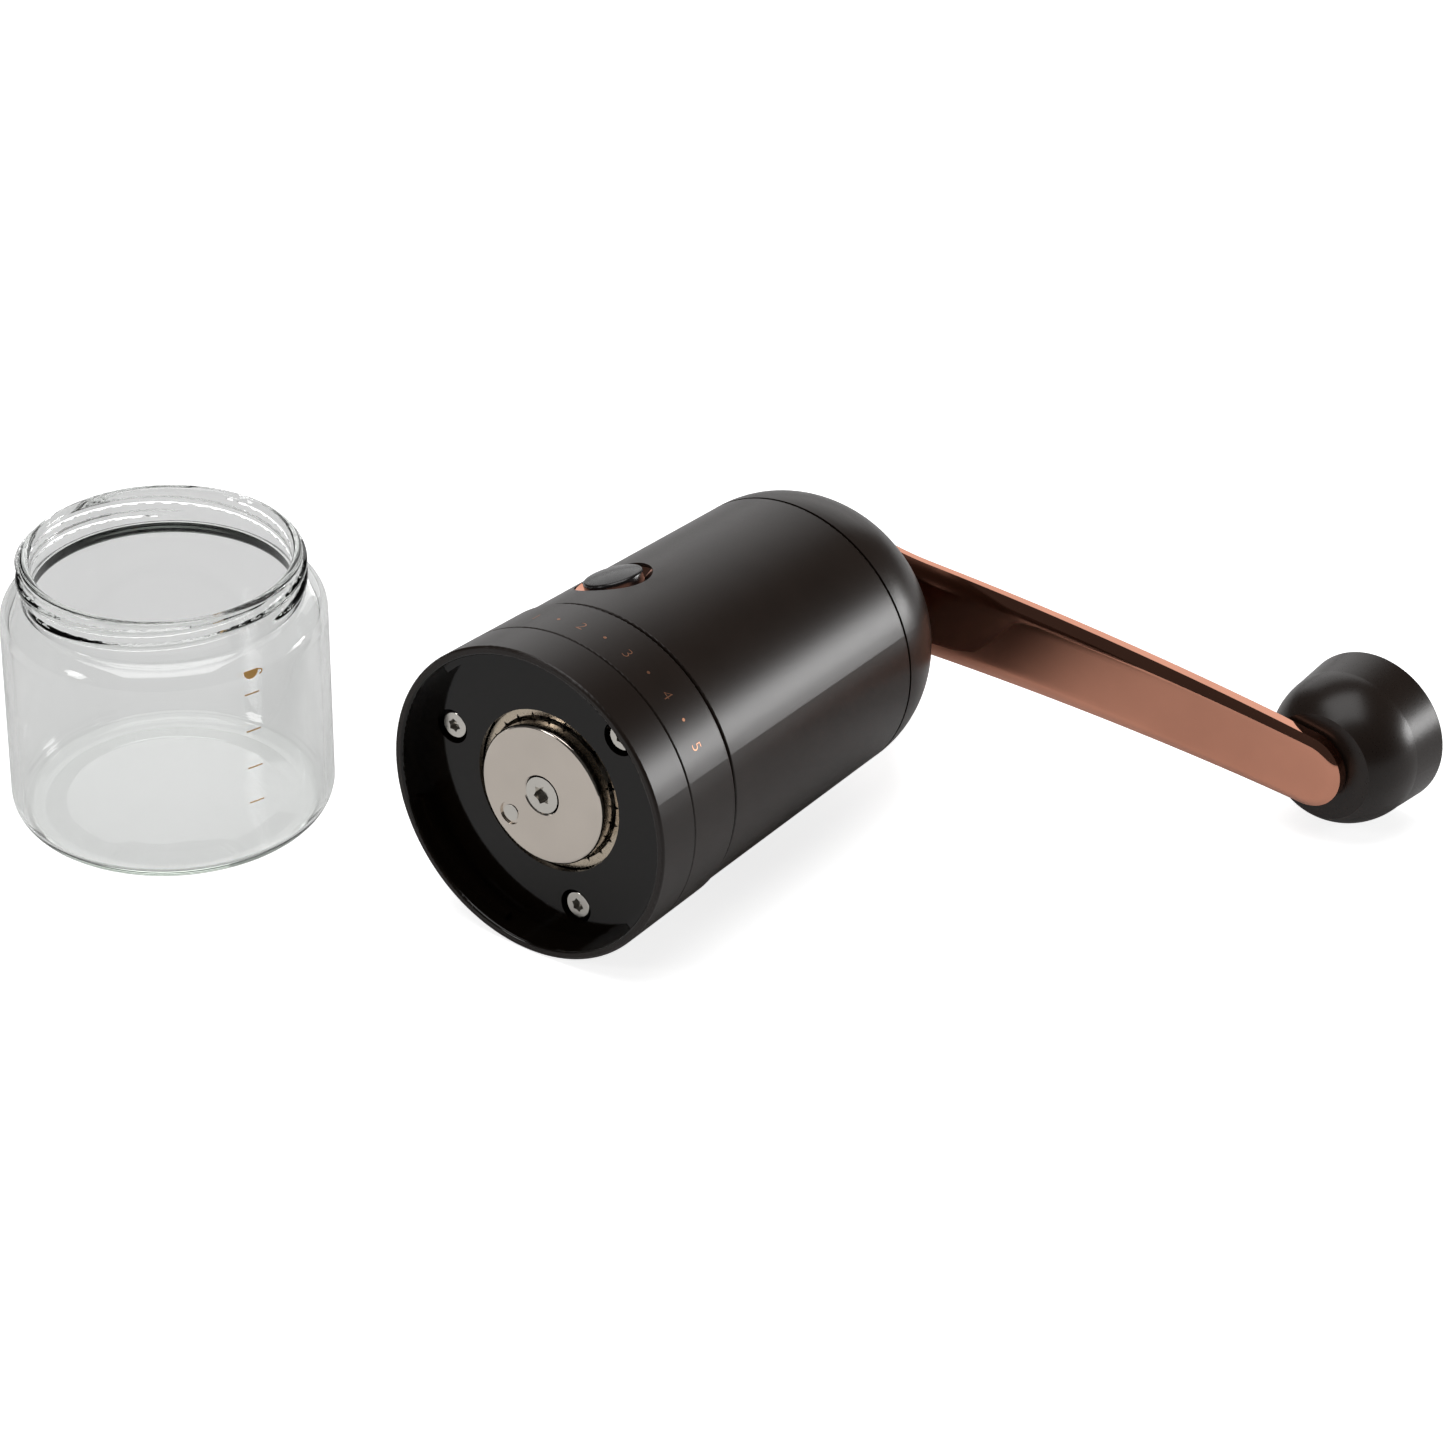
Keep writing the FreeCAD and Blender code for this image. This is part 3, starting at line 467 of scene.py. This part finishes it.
mark_line = np.linspace(-MARK_LONG / 2, MARK_LONG / 2, MARK_SLICES + 1)
mark_low, mark_high = ([(x, side * MARK_WIDE / 2) for x in mark_line] for side in (-1, 1))
mark = ribbon(mark_low, mark_high, PRINT_THICK)
marks = [wrapped(mark, PRINT_ANGLE, height, jar_skin) for height in MARK_HEIGHTS]
marks.append(wrapped(cup_mark(), PRINT_ANGLE, CUP_HEIGHT + CUP_DEEP / 2, jar_skin))
add_piece("jar_marks", joined(marks), JAR, "jar", jar_print)


# --------------------------------------------------------------- numbers on the dial
ring_low, ring_high = node_extent("adjust_ring", MILL)
RIM_RADIUS = node_extent("jar_collar", MILL)[1][0]
DIAL_MIDDLE = (ring_low[2] + ring_high[2]) / 2 - 1.2
SIDE_SLOPE = math.tan(math.asin(-AXIS.z))
NUMERAL_TALL, DIAL_STEP, DIAL_START = 4.5, 20.0, -90.0
DOT_RADIUS, DIAL_PROUD, DIAL_THICK, NUMERAL_THIN = 0.42, 0.015, 0.04, 0.1


def dial_skin(height):
    return RIM_RADIUS - SIDE_SLOPE * height + DIAL_PROUD


dial = []
for count, numeral in enumerate("12345"):
    angle = DIAL_START + DIAL_STEP * count
    flat = lettering(numeral, NUMERAL_TALL, NUMERAL_THIN, DIAL_THICK)
    dial.append(wrapped(flat, angle, DIAL_MIDDLE, dial_skin))
    if numeral != "5":
        dial.append(wrapped(disc(DOT_RADIUS, DIAL_THICK), angle + DIAL_STEP / 2, DIAL_MIDDLE, dial_skin))
add_piece("dial_numbers", joined(dial), MILL, "setting_ring", dial_print)


# -------------------------------------------------------------------- crank arm
arm_low, arm_high = node_extent("crank_arm", CRANK)
REACH = (KNOB_CENTRE - RIM_CENTRE).cross(AXIS).length / MM
TIP_SHORT = 1.5  # the arm's round end is centred this much short of the knob
ARM_TIP = REACH - TIP_SHORT
ARM_ROOT, ARM_END = -arm_low[0], arm_high[0] - ARM_TIP
ARM_BASE, ARM_THICK, FAR_ROUND = arm_low[2], 4.4, 0.9
BEVEL_ROOT, BEVEL_TIP = 0.42, 0.28  # width of the near face's bevel, as a share of the half width
BEVEL_SLOPE, BEVEL_CURVE = 0.42, 1.6
RIM_STRAIGHT, RIM_BEND, EDGE_STEPS, SPINE_STEPS = 72, 40, 7, 5
# (distance from the mill's axis, slope of the arm there); the slope changes evenly between them
ARM_SLOPES = ((5.0, 0.0), (15.0, 0.18), (REACH, 0.016))


def arm_rise(distance):
    """Height of the arm's near face above its root."""
    rise = 0.0
    for (start, slope), (end, last_slope) in zip(ARM_SLOPES, ARM_SLOPES[1:]):
        part = min(max(distance - start, 0.0), end - start)
        rise += slope * part + (last_slope - slope) * part ** 2 / (2 * (end - start))
    return rise + max(distance - REACH, 0.0) * ARM_SLOPES[-1][1]


def arm_rim():
    """(centre, radius, direction) round the arm: two round ends joined by straight sides."""
    lean = math.asin((ARM_ROOT - ARM_END) / ARM_TIP)
    parts = np.linspace(0, 1, RIM_STRAIGHT)[1:-1]
    low_side = [(ARM_TIP * part, ARM_ROOT + (ARM_END - ARM_ROOT) * part, 1.5 * math.pi + lean)
                for part in parts]
    high_side = [(centre, half, math.pi / 2 - lean) for centre, half, _ in reversed(low_side)]
    root = [(0.0, ARM_ROOT, turn)
            for turn in np.linspace(math.pi / 2 - lean, 1.5 * math.pi + lean, RIM_BEND)]
    tip = [(ARM_TIP, ARM_END, turn)
           for turn in np.linspace(-math.pi / 2 + lean, math.pi / 2 - lean, RIM_BEND)]
    return root + low_side + tip + high_side


def arm_section():
    """(flat part, bevel part, inset, far side) from the near face's spine round to the far one's."""
    turns = np.linspace(0, math.pi / 2, EDGE_STEPS + 1)
    section = [(step / SPINE_STEPS, 0, 0, False) for step in range(SPINE_STEPS)]
    section += [(1, part, 0, False) for part in np.linspace(0, 1, EDGE_STEPS + 1)]
    section += [(1, 1, FAR_ROUND * (1 - math.sin(turn)), True) for turn in turns[::-1]]
    for step in reversed(range(SPINE_STEPS)):
        part = step / SPINE_STEPS
        section.append((part, part, FAR_ROUND * part, True))
    return section


def arm_shape():
    """Vertices and faces of the arm: its section carried round its rim."""
    rim, section = arm_rim(), arm_section()
    vertices, count = [], len(rim)
    for flat, bevel, inset, far_side in section:
        for centre, half, turn in rim:
            wide = half * (BEVEL_ROOT + (BEVEL_TIP - BEVEL_ROOT) * centre / ARM_TIP)
            reach = (half - wide) * flat + wide * bevel - inset
            height = BEVEL_SLOPE * wide * bevel ** BEVEL_CURVE
            if far_side:
                drop = FAR_ROUND - math.sqrt(max(0.0, FAR_ROUND ** 2 - (FAR_ROUND - inset) ** 2))
                height = ARM_THICK - (drop if flat == 1 else 0)
            x, y = centre + reach * math.cos(turn), reach * math.sin(turn)
            vertices.append((x, y, ARM_BASE + arm_rise(x) + height))
    faces = []
    for row in range(len(section) - 1):
        lower, upper = row * count, (row + 1) * count
        for here in range(count):
            following = (here + 1) % count
            faces.append((lower + here, lower + following, upper + following, upper + here))
    return vertices, faces


def weld(piece, distance=1e-6):
    """Joins a piece's doubled vertices and turns all its faces outwards."""
    soft = bmesh.new()
    soft.from_mesh(piece.data)
    bmesh.ops.remove_doubles(soft, verts=soft.verts, dist=distance)
    bmesh.ops.dissolve_degenerate(soft, edges=soft.edges, dist=distance / 10)
    bmesh.ops.recalc_face_normals(soft, faces=soft.faces)
    soft.to_mesh(piece.data)
    soft.free()
    piece.data.shade_smooth()


weld(add_piece("copper_arm", arm_shape(), CRANK, "crank", copper, ["crank_arm"]))


# ---------------------------------------------------------- table, light, camera
FLOOR_HALF, FLOOR_LIFT = 4.0, 0.80
floor_mesh = bpy.data.meshes.new("table_top")
floor_mesh.from_pydata([(-FLOOR_HALF, -FLOOR_HALF, 0), (FLOOR_HALF, -FLOOR_HALF, 0),
                        (FLOOR_HALF, FLOOR_HALF, 0), (-FLOOR_HALF, FLOOR_HALF, 0)], [], [(0, 1, 2, 3)])
floor = bpy.data.objects.new("table_top", floor_mesh)
floor.location.z = -0.0001
bpy.context.scene.collection.objects.link(floor)
floor_finish = Finish("table_white", (0.85, 0.85, 0.85), Roughness=0.9)
floor_finish.shader.inputs["Specular IOR Level"].default_value = 0.0
floor_finish.shader.inputs["Emission Color"].default_value = (1, 1, 1, 1)
seen_directly = floor_finish.node("ShaderNodeLightPath").outputs["Is Camera Ray"]
floor_finish.drive("Emission Strength", floor_finish.spread(seen_directly, 0, FLOOR_LIFT, 0, 1))
floor_mesh.materials.append(floor_finish.material)

world = bpy.data.worlds.new("studio")
world.use_nodes = True
# a dark room for reflections; brighter where it is seen through the glass
ROOM, ROOM_THROUGH_GLASS = 0.05, 0.70
background = world.node_tree.nodes["Background"]
background.inputs["Color"].default_value = (1, 1, 1, 1)
room_path = world.node_tree.nodes.new("ShaderNodeLightPath")
room_level = world.node_tree.nodes.new("ShaderNodeMapRange")
room_level.inputs["To Min"].default_value = ROOM
room_level.inputs["To Max"].default_value = ROOM_THROUGH_GLASS
world.node_tree.links.new(room_path.outputs["Is Transmission Ray"], room_level.inputs["Value"])
world.node_tree.links.new(room_level.outputs["Result"], background.inputs["Strength"])
bpy.context.scene.world = world


def softbox(name, place, target, wide, tall, power, gloss=1.0):
    """A rectangular lamp in metres and watts; `gloss` scales how strongly it shows in reflections."""
    lamp = bpy.data.lights.new(name, "AREA")
    lamp.shape = "RECTANGLE"
    lamp.size, lamp.size_y = wide, tall
    lamp.energy = power
    lamp.specular_factor = gloss
    holder = bpy.data.objects.new(name, lamp)
    holder.location = place
    holder.rotation_euler = (Vector(target) - Vector(place)).to_track_quat("-Z", "Y").to_euler()
    bpy.context.scene.collection.objects.link(holder)


LIT_POINT = (0, 0, 0.04)
softbox("over_box", (-0.1, -0.1, 1.9), (0, 0, 0), 1.6, 1.6, 24, gloss=0.35)
softbox("window_box", (0.93, 1.11, 0.20), LIT_POINT, 0.60, 0.38, 10.5)
softbox("left_box", (-0.90, 1.33, 0.62), LIT_POINT, 1.60, 1.10, 6)
softbox("front_box", (-0.8, -1.5, 0.9), (0, -0.05, 0.03), 0.35, 0.45, 4)

CAMERA_PLACE, CAMERA_PITCH, CAMERA_HEADING = (0.71905, -0.95124, 0.76150), 58.365, 36.736
CAMERA_LENS, CAMERA_SENSOR = 146.6, 36.0
camera = bpy.data.objects.new("camera", bpy.data.cameras.new("camera"))
camera.data.lens = CAMERA_LENS
camera.data.sensor_width = CAMERA_SENSOR
camera.location = CAMERA_PLACE
camera.rotation_euler = (math.radians(CAMERA_PITCH), 0, math.radians(CAMERA_HEADING))
bpy.context.scene.collection.objects.link(camera)
bpy.context.scene.camera = camera
bpy.context.scene.view_settings.view_transform = "Standard"
